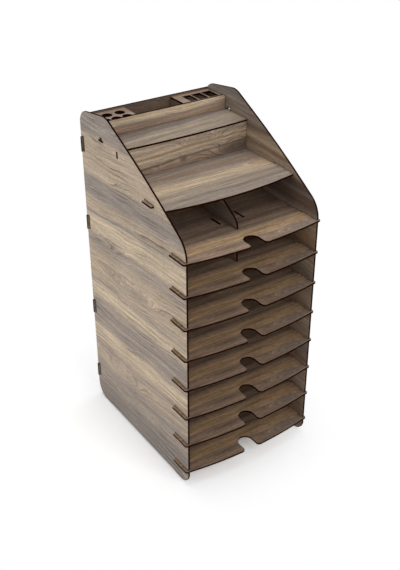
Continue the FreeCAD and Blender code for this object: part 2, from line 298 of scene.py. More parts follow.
def begin_edit(piece, mode="VERT", action="SELECT"):
    """Opens a piece for editing with all or none of it selected, and gives its form."""
    select_only(piece)
    bpy.ops.object.mode_set(mode="EDIT")
    bpy.ops.mesh.select_mode(type=mode)
    bpy.ops.mesh.select_all(action=action)
    return bmesh.from_edit_mesh(piece.data)


def tidy_faces(board):
    """Merges doubles and flat neighbours after a solid was changed."""
    begin_edit(board)
    bpy.ops.mesh.remove_doubles(threshold=SAME_PLACE)
    bpy.ops.mesh.dissolve_limited(angle_limit=FLAT_TURN)
    bpy.ops.mesh.normals_make_consistent(inside=False)
    bpy.ops.object.mode_set(mode="OBJECT")


def trim(board, start, end):
    """Cuts off what lies above the line between two places, seen from the side."""
    run = end - start
    begin_edit(board)
    bpy.ops.mesh.bisect(plane_co=start, plane_no=(0, -run.z, run.y), use_fill=True,
                        clear_outer=True)
    bpy.ops.object.mode_set(mode="OBJECT")


def round_edges(board, axis, spots, radius):
    """Rounds the edges that run along an axis at these spots, given by their other two
    coordinates. The profile is set so that any corner gets a true arc."""
    others = [i for i in range(3) if i != axis]
    for spot in spots:
        form = begin_edit(board, "EDGE", "DESELECT")
        turn = 0.0
        for edge in form.edges:
            start, end = (corner.co for corner in edge.verts)
            along = abs((end - start).normalized()[axis]) > 0.999
            near = all(abs(start[i] - value) < NEARBY for i, value in zip(others, spot))
            if along and near and len(edge.link_faces) == 2:
                edge.select_set(True)
                turn = edge.calc_face_angle()
        bmesh.update_edit_mesh(board.data)
        if turn == 0.0:
            raise RuntimeError("no edge of %s at %s" % (board.name, tuple(spot)))
        crown = math.tan(turn / 4) / (2 * math.sin(turn / 2))
        steps = max(4, round(turn / ARC_STEP))
        bpy.ops.mesh.bevel(offset=radius * math.tan(turn / 2), segments=steps,
                           profile=(1 - crown) ** 2, affect="EDGES", clamp_overlap=False)
        bpy.ops.object.mode_set(mode="OBJECT")


def bowed_sheet(name, front, bow, rear, low, high):
    """Level board between the sides whose front edge is an arc."""
    sheet = add_block(name, (-inner_half, front - bow - OVERRUN, low), (inner_half, rear, high))
    radius = (inner_half ** 2 + bow ** 2) / (2 * bow)
    disc = add_rod("disc", 0, front - bow + radius, radius, low - OVERRUN,
                   high + OVERRUN, DISC_SIDES)
    combine(sheet, [disc], "INTERSECT")
    return sheet


def side_ears(reach, start, end, low, high):
    """Corners of a pair of ears or tabs in the side panels."""
    root = inner_half - OVERRUN
    return [((-reach, start, low), (-root, end, high)), ((root, start, low), (reach, end, high))]


def rear_tabs(middles, low, high):
    """Corners of the tabs at the rear of a level board."""
    half = context_joints().rear_tab_width / 2
    return [((x - half, back_face - OVERRUN, low), (x + half, back_rear, high))
            for x in middles]


def foot_blocks(low, high, play=0.0):
    """Corners of the strip's two foot tabs, or of their slots, between two levels."""
    joints = context_joints()
    half = joints.foot_tab_width / 2 + play
    return [((x - half, strip_low.y, low), (x + half, strip_high.y + play, high))
            for x in (-joints.foot_tab_offset, joints.foot_tab_offset)]


def context_joints():
    return bpy.context.scene.organizer_joints


def shelf_tab_middles():
    offset = context_joints().rear_tab_offset
    return (-offset, offset)


def divider_slots(middle, low, high):
    """Corners of one row of divider slots in a tray."""
    sizes = bpy.context.scene.organizer_dividers
    play = context_joints().play
    left = middle - board_thickness / 2
    slots = []
    for start in (sizes.first_tab, sizes.second_tab):
        y = panel_front + start
        slots.append(((left, y, low - OVERRUN),
                      (left + board_thickness + play, y + sizes.tab_length + play,
                       high + OVERRUN)))
    return slots


def duplicate(piece, name, shift):
    """Copy of a piece with its own mesh, moved by a shift."""
    select_only(piece)
    bpy.ops.object.duplicate()
    bpy.ops.transform.translate(value=shift)
    return apply_size(name)


def is_level(face, axis):
    """Whether a face lies flat across an axis; a sliver's normal wouldn't tell."""
    places = [corner.co[axis] for corner in face.verts]
    return max(places) - min(places) < SAME_PLACE


def finish_board(board, axis, veneer, lining=None):
    """Gives a board its browned rims, softened arrises and materials. The axis is the one
    that the board's thickness lies along. A lining is the veneer of the face on the far side
    of that axis, where it isn't the same; on the side panels it also carries painted shade."""
    look = bpy.context.scene.organizer_finish
    tidy_faces(board)
    board.data.materials.clear()
    for material in (veneer, cut_edge_material(), lining or veneer):
        board.data.materials.append(material)
    middle = sum(corner[axis] for corner in board.bound_box) / 8
    form = begin_edit(board, "FACE", "DESELECT")
    for face in form.faces:
        is_flat = is_level(face, axis)
        is_far = face.verts[0].co[axis] > middle
        face.material_index = (2 if is_far else 0) if is_flat else 1
        face.select_set(is_flat)
    bmesh.update_edit_mesh(board.data)
    bpy.ops.mesh.inset(thickness=look.scorch, use_even_offset=True, use_boundary=True)
    form = bmesh.from_edit_mesh(board.data)
    mark = form.verts.layers.float.new("scorch")
    inner = {corner for face in form.faces if face.select for corner in face.verts}
    for corner in form.verts:
        corner[mark] = 0.0 if corner in inner else 1.0
    bpy.ops.mesh.select_mode(type="EDGE")
    bpy.ops.mesh.select_all(action="DESELECT")
    form = bmesh.from_edit_mesh(board.data)
    for edge in form.edges:
        kinds = {face.material_index for face in edge.link_faces}
        if 1 in kinds and len(kinds) == 2:
            edge.select_set(True)
    bmesh.update_edit_mesh(board.data)
    bpy.ops.mesh.bevel(offset=look.arris, segments=2, affect="EDGES", material=1,
                       clamp_overlap=False)
    bpy.ops.mesh.select_all(action="SELECT")
    bpy.ops.mesh.normals_make_consistent(inside=False)
    bpy.ops.object.mode_set(mode="OBJECT")
    bpy.ops.object.shade_smooth_by_angle(angle=SMOOTH_TURN)


def place_piece(piece, node):
    piece.name = "veneered_" + node
    piece.data.name = piece.name
    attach(piece, "root")
    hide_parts(node)


# Materials

class Graph:
    """Short way to add and link the nodes of a new material or world."""

    def __init__(self, owner):
        owner.use_nodes = True
        self.owner = owner
        self.tree = owner.node_tree
        self.tree.nodes.clear()

    def add(self, kind, inputs=(), **settings):
        node = self.tree.nodes.new(kind)
        for key, value in settings.items():
            setattr(node, key, value)
        for key, value in dict(inputs).items():
            if isinstance(value, bpy.types.NodeSocket):
                self.tree.links.new(value, node.inputs[key])
            else:
                node.inputs[key].default_value = value
        return node

    def math(self, operation, first, second=0.0, third=0.0):
        node = self.add("ShaderNodeMath", {0: first, 1: second, 2: third}, operation=operation)
        return node.outputs[0]

    def remap(self, value, low, high, new_low, new_high):
        node = self.add("ShaderNodeMapRange", {
            "Value": value, "From Min": low, "From Max": high,
            "To Min": new_low, "To Max": new_high})
        return node.outputs["Result"]

    def noise(self, place, scale, detail=2.0, roughness=0.5):
        """Noise stretched by a scale for each axis, from 0 to 1."""
        stretched = self.add("ShaderNodeMapping", {"Vector": place, "Scale": scale})
        node = self.add("ShaderNodeTexNoise", {
            "Vector": stretched.outputs["Vector"], "Scale": 1.0,
            "Detail": detail, "Roughness": roughness})
        return node.outputs["Fac"]

    def mix(self, factor, first, second, blend="MIX"):
        node = self.add("ShaderNodeMix", {"Factor": factor}, data_type="RGBA", blend_type=blend)
        for socket, value in ((node.inputs[6], first), (node.inputs[7], second)):
            if isinstance(value, bpy.types.NodeSocket):
                self.tree.links.new(value, socket)
            else:
                socket.default_value = (*value, 1.0)
        return node.outputs[2]

    def surface(self, colour, rough, height, strength, depth, gloss):
        """Ends a material with its shader and fine relief."""
        bump = self.add("ShaderNodeBump", {
            "Strength": strength, "Distance": depth, "Height": height})
        shader = self.add("ShaderNodeBsdfPrincipled", {
            "Base Color": colour, "Roughness": rough, "Normal": bump.outputs["Normal"],
            "Specular IOR Level": gloss})
        self.add("ShaderNodeOutputMaterial", {"Surface": shader.outputs["BSDF"]})
        return self.owner


def cut_edge_material():
    """Laser-burnt core of the board: near-black brown with faint plies."""
    found = bpy.data.materials.get("burnt_cut_edge")
    if found:
        return found
    look = bpy.context.scene.organizer_finish
    graph = Graph(bpy.data.materials.new("burnt_cut_edge"))
    place = graph.add("ShaderNodeTexCoord").outputs["Object"]
    soot = graph.noise(place, (260, 260, 260), 3.0, 0.6)
    streak = graph.noise(place, (900, 900, 120), 2.0)
    amount = graph.math("MULTIPLY", soot, streak)
    brown = tuple(channel * 2.6 for channel in look.cut)
    colour = graph.mix(graph.remap(amount, 0.15, 0.45, 0.0, 1.0), look.cut, brown)
    rough = graph.remap(soot, 0.3, 0.7, 0.55, 0.8)
    return graph.surface(colour, rough, streak, 0.25, 0.0001, 0.0)


def veneer_material(name, axes, span, bands, base=0.0, wave=0.006, slope=0.0, eyes=(),
                    rings=120.0, fineness=1.0, figuring=0.52, relief=1.0):
    """Walnut veneer on Object coordinates.

    The axes are the grain's and the one across it. The bands are tones at places across
    the grain, and the span is from where to where they reach. The wave is how far they
    wander and the slope how much they rise along the grain. Each eye is a place, half
    sizes, a tone and a strength. Span, bands and eyes are in millimetres, across the grain
    from the base. The rings are growth lines to the metre and the figuring is how dark
    they get. The fineness and the relief are those of the streaks."""
    found = bpy.data.materials.get(name)
    if found:
        return found
    look = bpy.context.scene.organizer_finish
    graph = Graph(bpy.data.materials.new(name))
    place = graph.add("ShaderNodeTexCoord").outputs["Object"]
    parts = graph.add("ShaderNodeSeparateXYZ", {0: place}).outputs
    along = parts[axes[0]]
    across = parts[axes[1]]
    flat = graph.add("ShaderNodeCombineXYZ", {0: along, 1: across}).outputs[0]

    # The bands wander slowly and rise along the grain
    drift = graph.noise(flat, (5.0, 14.0, 1.0), 2.0)
    ripple = graph.noise(flat, (16.0, 45.0, 1.0), 3.0, 0.55)
    warped = graph.math("MULTIPLY_ADD", graph.math("SUBTRACT", drift, 0.5), wave * 4, across)
    warped = graph.math("MULTIPLY_ADD", graph.math("SUBTRACT", ripple, 0.5), wave * 2.4, warped)
    warped = graph.math("MULTIPLY_ADD", along, slope, warped)
    first, last = span
    ramp = graph.add("ShaderNodeValToRGB", {
        "Fac": graph.remap(warped, base + first * MILLIMETRE, base + last * MILLIMETRE,
                           0.0, 1.0)})
    stops = ramp.color_ramp.elements
    while len(stops) > 1:
        stops.remove(stops[-1])
    for index, (level, shade) in enumerate(bands.items()):
        share = (level - first) / (last - first)
        stop = stops[0] if index == 0 else stops.new(share)
        stop.position = share
        stop.color = (*getattr(look, shade), 1.0)
    colour = ramp.outputs["Color"]

    # Eyes of the figure: dark ovals that the growth lines bend around
    flow = warped
    for spot, half, shade, strength in eyes:
        middle = (spot[0] * MILLIMETRE, base + spot[1] * MILLIMETRE)
        half = (half[0] * MILLIMETRE, half[1] * MILLIMETRE)
        dx = graph.math("DIVIDE", graph.math("SUBTRACT", along, middle[0]), half[0])
        dy = graph.math("DIVIDE", graph.math("SUBTRACT", warped, middle[1]), half[1])
        far = graph.math("MULTIPLY_ADD", dx, dx, graph.math("MULTIPLY", dy, dy))
        swell = graph.math("POWER", graph.math("ADD", far, 1.0), -2.0)
        flow = graph.math("MULTIPLY_ADD", swell, half[1] * 2.4, flow)
        mask = graph.remap(swell, 0.30, 0.85, 0.0, strength)
        colour = graph.mix(mask, colour, getattr(look, shade))

    # Streaks, fibres and pores
    grain = graph.add("ShaderNodeCombineXYZ", {0: along, 1: flow}).outputs[0]
    streak = graph.noise(grain, (6.0, 170.0 * fineness, 1.0), 4.0, 0.62)
    thread = graph.noise(grain, (15.0, 560.0 * fineness, 1.0), 3.0, 0.62)
    dash = graph.noise(grain, (120.0, 1000.0 * fineness, 1.0), 2.0, 0.6)
    fibre = graph.noise(grain, (70.0, 1900.0, 1.0), 3.0, 0.6)
    pore = graph.noise(grain, (130.0, 3600.0, 1.0), 2.0, 0.5)
    shade = graph.remap(streak, 0.3, 0.7, 0.96, 1.54)
    for noise, low, high, at_low, at_high in (
            (thread, 0.3, 0.7, 1 - 0.24 * relief, 1 + 0.24 * relief),
            (dash, 0.3, 0.7, 1 - 0.16 * relief, 1 + 0.16 * relief),
            (fibre, 0.25, 0.75, 0.84, 1.15), (pore, 0.58, 0.72, 1.0, 0.70)):
        shade = graph.math("MULTIPLY", shade, graph.remap(noise, low, high, at_low, at_high))

    # Growth lines that darken slowly and end sharply, plain in some places and faint in others
    drifting = graph.noise(grain, (5.0, 45.0, 1.0), 2.0)
    ring = graph.math("MULTIPLY_ADD", drifting, 3.0, graph.math("MULTIPLY", flow, rings))
    late = graph.math("POWER", graph.math("FRACT", ring), 5.0)
    figure = graph.noise(flat, (9.0, 16.0, 1.0), 1.0)
    depth = graph.remap(figure, 0.42, 0.66, figuring * 0.1, figuring)
    shade = graph.math("MULTIPLY", shade, graph.math(
        "SUBTRACT", 1.0, graph.math("MULTIPLY", depth, late)))
    tint = graph.add("ShaderNodeCombineXYZ", {0: shade, 1: shade, 2: shade}).outputs[0]
    colour = graph.mix(1.0, colour, tint, "MULTIPLY")

    # Browned rim beside every cut
    rim = graph.add("ShaderNodeAttribute", attribute_name="scorch").outputs["Fac"]
    soot = graph.noise(place, (180.0, 180.0, 180.0), 3.0, 0.6)
    burnt = graph.math("MULTIPLY", graph.math("POWER", rim, 0.6),
                       graph.remap(soot, 0.3, 0.7, 0.75, 1.0))
    colour = graph.mix(burnt, colour, look.char)

    height = graph.math("MULTIPLY_ADD", pore, -0.6, fibre)
    rough = graph.remap(streak, 0.3, 0.7, 0.58, 0.72)
    return graph.surface(colour, rough, height, 0.22, 0.00012, 0.20)


def side_veneer():
    """Both side panels show the same sheet of veneer."""
    bands = {
        0: "slate", 40: "slate", 66: "taupe", 85: "smoke", 110: "tan", 132: "taupe", 146: "tan",
        152: "pale", 174: "pale", 181: "taupe", 195: "smoke", 203: "taupe", 212: "smoke",
        232: "taupe", 246: "pale", 262: "pale", 270: "taupe", 286: "tan", 330: "tan",
        350: "taupe", 361: "taupe", 370: "pale", 405: "pale", 411: "smoke", 419: "tan",
        430: "tan", 446: "smoke", 470: "smoke", 482: "tan", 542: "tan", 554: "smoke"}
    eyes = (
        ((150, 357), (125, 13), "smoke", 0.65),
        ((20, 300), (110, 13), "smoke", 0.45),
        ((60, 108), (80, 15), "taupe", 0.35),
        ((-146, 7), (22, 5.5), "tan", 0.90))
    return veneer_material("walnut_side", (1, 2), (0, 580), bands, wave=0.0045, eyes=eyes,
                           slope=0.065, figuring=0.75, relief=1.2)


def lining_veneer_and_shade():
    """The inner faces of both side panels are browner, with plainer stripes, and darker: partly
    their own veneer and partly painted shade, where the panels keep light off each other's inner
    faces.
    """
    bands = {
        0: "taupe", 60: "bark", 110: "tan", 150: "hazel", 190: "smoke", 215: "tan", 240: "tan",
        262: "bark", 280: "tan", 310: "hazel", 330: "smoke", 350: "tan", 385: "bark",
        400: "golden", 425: "tan", 440: "taupe", 449: "umber", 462: "umber", 470: "smoke",
        # Painted shadow: the umber bands at 475 and 485 lie just below the display shelf.
        475: "umber", 485: "umber", 493: "tan", 503: "tan", 508: "bark", 515: "pale", 527: "tan",
        533: "umber", 542: "taupe", 580: "slate"}
    return veneer_material("walnut_lining_and_shade", (1, 2), (0, 580), bands, wave=0.0035, slope=-0.03,
                           fineness=0.7)


def tray_veneer():
    """Every tray shows the same sheet of veneer."""
    bands = {
        -12: "bark", 5: "hazel", 12: "bark", 17: "golden", 34: "golden", 43: "bark", 47: "umber",
        53: "bark", 58: "bark", 67: "umber", 76: "bark", 84: "bark", 97: "umber", 112: "umber",
        130: "bark", 170: "golden", 210: "bark", 250: "umber", 305: "bark"}
    eyes = (((85, 2), (70, 10), "smoke", 0.65),)
    return veneer_material("walnut_tray", (0, 1), (-12, 310), bands, panel_front, wave=0.0022,
                           eyes=eyes, rings=150.0, fineness=0.6, relief=1.5)


def display_veneer():
    bands = {
        50: "taupe", 74: "taupe", 80: "smoke", 84: "taupe", 89: "tan", 98: "taupe", 106: "tan",
        112: "pale", 122: "straw", 132: "straw", 141: "tan", 146: "taupe", 162: "bark",
        172: "taupe", 184: "smoke", 205: "taupe", 260: "tan", 310: "taupe"}
    eyes = (
        ((110, 132), (45, 12), "golden", 0.55),
        ((85, 182), (60, 8), "slate", 0.50))
    return veneer_material("walnut_display", (0, 1), (50, 310), bands, panel_front, wave=0.0022,
                           eyes=eyes, fineness=0.6)


def riser_veneer():
    bands = {
        489: "bark", 497: "hazel", 501: "tan", 504: "umber", 508: "tan", 512: "tan", 515: "straw",
        519: "bark", 522: "straw", 527: "tan", 530: "taupe", 534: "pale", 540: "tan"}
    eyes = (
        ((-34, 496), (26, 8), "russet", 0.75),
        ((28, 522), (52, 11), "bark", 0.50),
        ((100, 493), (58, 19), "umber", 1.00),
        ((-4, 500), (12, 9), "umber", 0.80),
        ((-72, 494), (8, 4), "umber", 0.90),
        ((-98, 496), (34, 5.5), "umber", 0.80))
    return veneer_material("walnut_riser", (0, 2), (486, 542), bands, wave=0.0032, eyes=eyes,
                           slope=-0.04, rings=170.0, figuring=0.80, relief=1.2)


def top_veneer():
    bands = {
        180: "taupe", 196: "tan", 204: "taupe", 216: "tan", 224: "taupe", 238: "slate",
        254: "umber"}
    return veneer_material("walnut_top", (0, 1), (176, 260), bands, panel_front, wave=0.005,
                           slope=-0.10, fineness=0.6)


def strip_veneer():
    bands = {
        486: "hazel", 551: "hazel", 554.5: "taupe", 557.5: "pale", 561: "straw", 567: "straw"}
    return veneer_material("walnut_strip", (0, 2), (486, 567), bands, wave=0.0026, slope=-0.025,
                           rings=70.0, fineness=0.7)


def plate_veneer():
    """Both plates of the pen box are darker at the rear."""
    bands = {0: "taupe", 12: "bark", 22: "taupe", 30: "bark", 60: "bark"}
    return veneer_material("walnut_plate", (0, 1), (0, 60), bands, panel_front + 0.250,
                           wave=0.001)


def back_veneer():
    bands = {
        0: "smoke", 60: "taupe", 110: "tan", 160: "taupe", 220: "smoke", 270: "taupe", 330: "tan",
        380: "bark", 430: "smoke", 470: "bark", 510: "umber", 530: "bark", 566: "umber"}
    return veneer_material("walnut_back", (0, 2), (0, 570), bands, wave=0.008)


def divider_veneer():
    bands = {
        371: "bark", 390: "smoke", 410: "taupe", 428: "bark", 445: "smoke", 465: "taupe",
        489: "bark", 520: "smoke", 560: "bark"}
    return veneer_material("walnut_divider", (1, 2), (370, 560), bands, wave=0.004)


# Boards

class BoardOperator(bpy.types.Operator):
    bl_options = {"REGISTER", "UNDO"}


class ORGANIZER_OT_side_panels(BoardOperator):
    """Side panels with their slope, rounded corners, feet and slots"""
    bl_idname = "organizer.side_panels"
    bl_label = "Side panels"

    def execute(self, context):
        sizes = context.scene.organizer_sides
        panel = add_block("panel", left_low, (left_high.x, panel_rear, sizes.peak_height))
        shoulder = Vector((0, panel_front, sizes.shoulder_height))
        peak = Vector((0, panel_front + sizes.peak_depth, sizes.peak_height))
        middle = shoulder.lerp(peak, sizes.swell_place) + Vector((0, 0, sizes.swell))
        rear = Vector((0, panel_rear, sizes.rear_height))
        for start, end in ((shoulder, middle), (middle, peak), (peak, rear)):
            trim(panel, start, end)
        self.cut_feet(panel, sizes)
        self.cut_slots(panel)
        tidy_faces(panel)
        for spot, radius in ((shoulder.yz, sizes.shoulder_radius),
                             (middle.yz, sizes.swell_radius), (peak.yz, sizes.peak_radius),
                             (rear.yz, sizes.rear_top_radius),
                             ((panel_rear, 0), sizes.rear_bottom_radius),
                             ((panel_front, 0), sizes.front_bottom_radius)):
            round_edges(panel, 0, [spot], radius)
        # The inner faces get the lining, which is darkened with painted shade.
        finish_board(panel, 0, side_veneer(), lining_veneer_and_shade())
        right = duplicate(panel, "right", (outer_half + inner_half, 0, 0))
        right.data.materials[0] = lining_veneer_and_shade()
        right.data.materials[2] = side_veneer()
        place_piece(panel, "left_side_panel")
        place_piece(right, "right_side_panel")
        return {"FINISHED"}

    def cut_feet(self, panel, sizes):
        """The hollow between the feet: a block narrowed at the top and widened at the
        bottom, which makes the ramps."""
        start = panel_front + sizes.front_foot
        end = panel_rear - sizes.rear_foot
        ramp = sizes.foot_ramp
        hollow = add_block("hollow", (left_low.x - OVERRUN, start, -sizes.foot_lift),
                           (left_high.x + OVERRUN, end, sizes.foot_lift))
        for side in (1, -1):
            form = begin_edit(hollow, "VERT", "DESELECT")
            for corner in form.verts:
                corner.select_set(corner.co.z * side > 0)
            form.select_flush(True)
            bmesh.update_edit_mesh(hollow.data)
            bpy.ops.transform.resize(value=(1, 1 - 2 * side * ramp / (end - start), 1))
            bpy.ops.object.mode_set(mode="OBJECT")
        combine(panel, [hollow], "DIFFERENCE")
        tidy_faces(panel)
        spots = [(start, 0), (start + ramp, sizes.foot_lift),
                 (end - ramp, sizes.foot_lift), (end, 0)]
        round_edges(panel, 0, spots, sizes.foot_blend)

    def cut_slots(self, panel):
        """Each slot is a depth and a level where it starts, and the same where it ends. The
        gap over the top shelf's ear overlaps the slot there, so it is cut by itself."""
        joints = context_joints()
        play = joints.play
        slots = []
        for node in tray_names:
            low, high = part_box(node)
            slots.append((panel_front - OVERRUN, low.z,
                          panel_front - OVERRUN + joints.ear_length + play,
                          high.z + joints.tray_gap))
        low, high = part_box("display_shelf")
        start = panel_front + bpy.context.scene.organizer_shelves.display_front
        start += joints.display_ear_lead
        slots.append((start, low.z, start + joints.display_ear_length + play,
                      high.z + joints.display_gap))
        low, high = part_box("top_shelf")
        rear = strip_low.y - joints.top_ear_gap
        slots.append((rear - joints.top_ear_length, low.z, rear + play, high.z + play))
        middle = rear - joints.top_ear_length / 2
        half = joints.top_gap_length / 2
        top_gap = (middle - half, high.z, middle + half, low.z + joints.top_slot_height)
        low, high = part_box("riser_board")
        slots.append((low.y, high.z - joints.riser_tab_height, high.y + joints.riser_gap,
                      high.z + play))
        for level in back_tab_levels():
            slots.append((back_face - joints.back_gap, level, back_rear + play,
                          level + joints.back_tab_height + play))
        for group in (slots, [top_gap]):
            cut_blocks(panel, [((left_low.x - OVERRUN, y0, z0), (left_high.x + OVERRUN, y1, z1))
                               for y0, z0, y1, z1 in group])


def back_tab_levels():
    """Lower ends of the back panel's side tabs, at half and whole tray pitches."""
    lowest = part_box("tray_8")[0].z
    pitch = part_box("tray_7")[0].z - lowest
    middle = lowest + board_thickness / 2
    half = context_joints().back_tab_height / 2
    return [middle + pitch * step - half for step in (0.5, 3.0, 6.0, 8.5)]


def box_tab_levels(low, high):
    """Lower and upper end of the tabs of a box divider with this box."""
    joints = context_joints()
    level = (low.z + high.z - joints.box_tab_height) / 2 - joints.box_tab_drop
    return level, level + joints.box_tab_height


def box_divider_slots(start, end):
    """Corners of the slots for both box dividers, in an upright board between two depths."""
    play = context_joints().play
    slots = []
    for node in ("box_divider_left", "box_divider_right"):
        low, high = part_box(node)
        level, top = box_tab_levels(low, high)
        slots.append(((low.x, start - OVERRUN, level), (high.x + play, end + OVERRUN, top + play)))
    return slots


def plate_tab_middles():
    middles = []
    for node in ("pen_plate", "slotted_plate"):
        low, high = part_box(node)
        middles.append((low.x + high.x) / 2)
    return middles


class ORGANIZER_OT_back_panel(BoardOperator):
    """Back panel with its side tabs and the slots for every shelf"""
    bl_idname = "organizer.back_panel"
    bl_label = "Back panel"

    def execute(self, context):
        joints = context_joints()
        panel = add_block("back", (-inner_half, back_face, back_low.z),
                          (inner_half, back_rear, back_high.z))
        tabs = []
        for level in back_tab_levels():
            tabs += side_ears(back_high.x, back_face, back_rear, level,
                              level + joints.back_tab_height)
        add_tabs(panel, tabs)
        half = joints.rear_tab_width / 2 + joints.play
        slots = box_divider_slots(back_face, back_rear)
        rows = [(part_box(node)[0].z, shelf_tab_middles()) for node in tray_names]
        rows.append((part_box("display_shelf")[0].z, shelf_tab_middles()))
        rows.append((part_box("pen_plate")[0].z, plate_tab_middles()))
        for level, middles in rows:
            for x in middles:
                slots.append(((x - half, back_face - OVERRUN, level),
                              (x + half, back_rear + OVERRUN,
                               level + board_thickness + joints.play)))
        cut_blocks(panel, slots)
        finish_board(panel, 1, back_veneer())
        place_piece(panel, "back_panel")
        return {"FINISHED"}


class ORGANIZER_OT_trays(BoardOperator):
    """Stack of trays with finger notches, ears and divider slots"""
    bl_idname = "organizer.trays"
    bl_label = "Trays"

    def execute(self, context):
        plain = self.plain_tray(context.scene.organizer_shelves)
        second = self.raised(plain, "tray_2")
        first = self.raised(plain, "tray_1")
        sizes = context.scene.organizer_dividers
        spares = (-sizes.left_spare, sizes.right_spare)
        for tray, node, middles in ((second, "tray_2", [sizes.offset]),
                                    (first, "tray_1", [sizes.offset, *spares])):
            low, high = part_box(node)
            slots = []
            for middle in middles:
                slots += divider_slots(middle, low.z, high.z)
            cut_blocks(tray, slots)
        for tray in (plain, second, first):
            finish_board(tray, 2, tray_veneer())
        for node in tray_names[2:7]:
            place_piece(self.raised(plain, node), node)
        place_piece(plain, "tray_8")
        place_piece(second, "tray_2")
        place_piece(first, "tray_1")
        return {"FINISHED"}

    def raised(self, plain, node):
        """Copy of the lowest tray at the level of another one."""
        return duplicate(plain, node, (0, 0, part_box(node)[0].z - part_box("tray_8")[0].z))

    def plain_tray(self, sizes):
        joints = context_joints()
        low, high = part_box("tray_8")
        front = panel_front - sizes.tray_front
        tray = bowed_sheet("tray", front, sizes.tray_bow, back_face, low.z, high.z)
        tabs = side_ears(high.x, front, front + joints.ear_length, low.z, high.z)
        tabs += rear_tabs(shelf_tab_middles(), low.z, high.z)
        add_tabs(tray, tabs)
        half = sizes.notch_width / 2
        end = panel_front + sizes.notch_reach
        notch = add_block("notch", (-half, front - sizes.tray_bow - OVERRUN, low.z - OVERRUN),
                          (half, end, high.z + OVERRUN))
        round_edges(notch, 2, [(-half, end), (half, end)], half * FULL_ROUND)
        combine(tray, [notch], "DIFFERENCE")
        tidy_faces(tray)
        lip = self.lip_place(tray, half)
        round_edges(tray, 2, [(-half, lip), (half, lip)], sizes.notch_lip)
        round_edges(tray, 2, [(low.x, front), (high.x, front)], joints.ear_corner)
        return tray

    def lip_place(self, tray, half):
        """Depth at which the notch meets the bowed front edge."""
        depths = [corner.co.y for corner in tray.data.vertices
                  if abs(abs(corner.co.x) - half) < NEARBY]
        return min(depths)


class ORGANIZER_OT_dividers(BoardOperator):
    """Upper divider with its leaning front edge, and lower divider"""
    bl_idname = "organizer.dividers"
    bl_label = "Dividers"

    def execute(self, context):
        sizes = context.scene.organizer_dividers
        for node, tray in (("upper_divider", "tray_1"), ("lower_divider", "tray_2")):
            low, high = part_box(node)
            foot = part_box(tray)[1].z
            board = add_block(node, (low.x, low.y, foot), (high.x, back_face, high.z))
            if node == "upper_divider":
                nose = Vector((0, low.y, foot + sizes.nose_height))
                tip = Vector((0, low.y + sizes.lean, high.z))
                trim(board, nose, tip)
                round_edges(board, 0, [nose.yz], sizes.nose_radius)
            tabs = []
            for start in (sizes.first_tab, sizes.second_tab):
                y = panel_front + start
                tabs.append(((low.x, y, low.z), (high.x, y + sizes.tab_length, foot + OVERRUN)))
            add_tabs(board, tabs)
            finish_board(board, 0, divider_veneer())
            place_piece(board, node)
        return {"FINISHED"}


class ORGANIZER_OT_display_shelf(BoardOperator):
    """Wide display shelf above the trays"""
    bl_idname = "organizer.display_shelf"
    bl_label = "Display shelf"

    def execute(self, context):
        sizes = context.scene.organizer_shelves
        joints = context_joints()
        low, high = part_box("display_shelf")
        front = panel_front + sizes.display_front
        shelf = bowed_sheet("display", front, sizes.display_bow, back_face, low.z, high.z)
        start = front + joints.display_ear_lead
        tabs = side_ears(high.x, start, start + joints.display_ear_length, low.z, high.z)
        tabs += rear_tabs(shelf_tab_middles(), low.z, high.z)
        add_tabs(shelf, tabs)
        cut_blocks(shelf, foot_blocks(low.z - OVERRUN, high.z + OVERRUN, joints.play))
        finish_board(shelf, 2, display_veneer())
        place_piece(shelf, "display_shelf")
        return {"FINISHED"}


class ORGANIZER_OT_riser_board(BoardOperator):
    """Riser board between the display shelf and the top shelf"""
    bl_idname = "organizer.riser_board"
    bl_label = "Riser board"

    def execute(self, context):
        low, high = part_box("riser_board")
        board = add_block("riser", (-inner_half, low.y, low.z), (inner_half, high.y, high.z))
        start = high.z - context_joints().riser_tab_height
        add_tabs(board, side_ears(outer_half, low.y, high.y, start, high.z))
        finish_board(board, 1, riser_veneer())
        place_piece(board, "riser_board")
        return {"FINISHED"}


class ORGANIZER_OT_top_shelf(BoardOperator):
    """Narrow raised shelf on the riser board"""
    bl_idname = "organizer.top_shelf"
    bl_label = "Top shelf"

    def execute(self, context):
        sizes = context.scene.organizer_shelves
        joints = context_joints()
        low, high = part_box("top_shelf")
        front = strip_low.y - sizes.top_depth
        shelf = bowed_sheet("top", front, sizes.top_bow, strip_low.y, low.z, high.z)
        end = strip_low.y - joints.top_ear_gap
        add_tabs(shelf, side_ears(high.x, end - joints.top_ear_length, end, low.z, high.z))
        finish_board(shelf, 2, top_veneer())
        place_piece(shelf, "top_shelf")
        return {"FINISHED"}


